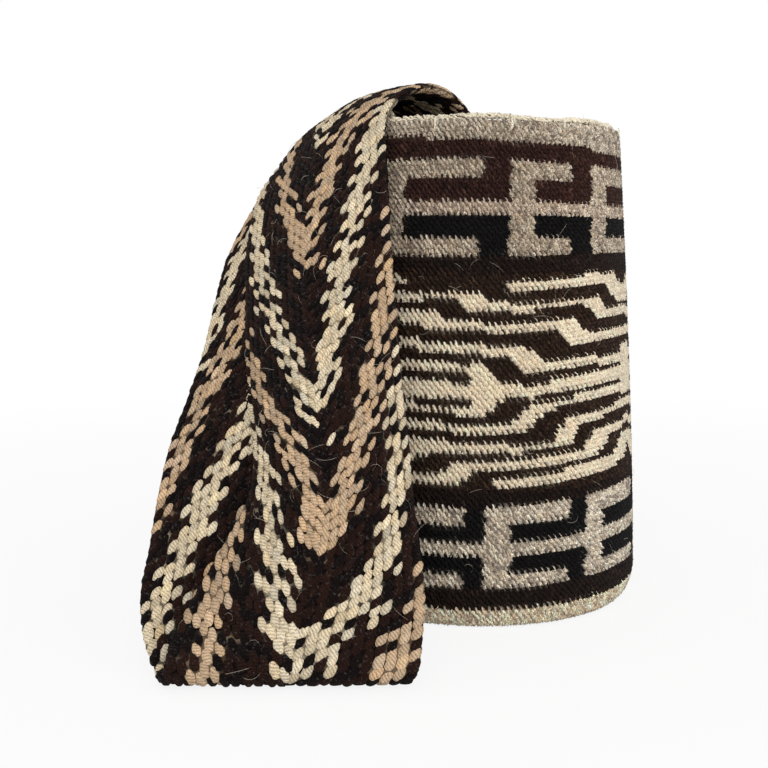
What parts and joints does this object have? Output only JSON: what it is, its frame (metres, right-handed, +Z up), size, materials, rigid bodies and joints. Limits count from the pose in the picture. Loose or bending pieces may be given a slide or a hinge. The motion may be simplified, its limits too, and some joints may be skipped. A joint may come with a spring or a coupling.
{
  "type": "arhuaca mochila bag",
  "caption": "Round crocheted wool shoulder bag with an open mouth, a whipped rim and a wide braided strap sewn inside the mouth, dropped over its front left.",
  "frame": {"origin": "middle of the round base, on the surface that the bag stands on", "axes": "+Z up through the mouth, -Y towards the front that the picture shows, +X to its right"},
  "size_m": [0.292, 0.2943, 0.3217],
  "materials": {
    "bag_wool": "tight single crochet in undyed sheep's wool, in bands of heather grey, brown, black and cream",
    "edging_wool": "whipped cream wool yarn",
    "strap_wool": "thick braid of plied wool cords in cream, tan and dark brown chevrons",
    "seam_wool": "brown wool lashing yarn"
  },
  "bodies": {
    "root": {"bag_body": "bag_wool", "rim_edging": "edging_wool", "strap": "strap_wool", "near_seam_yarn": "seam_wool", "far_seam_yarn": "seam_wool"}
  },
  "joints": []
}
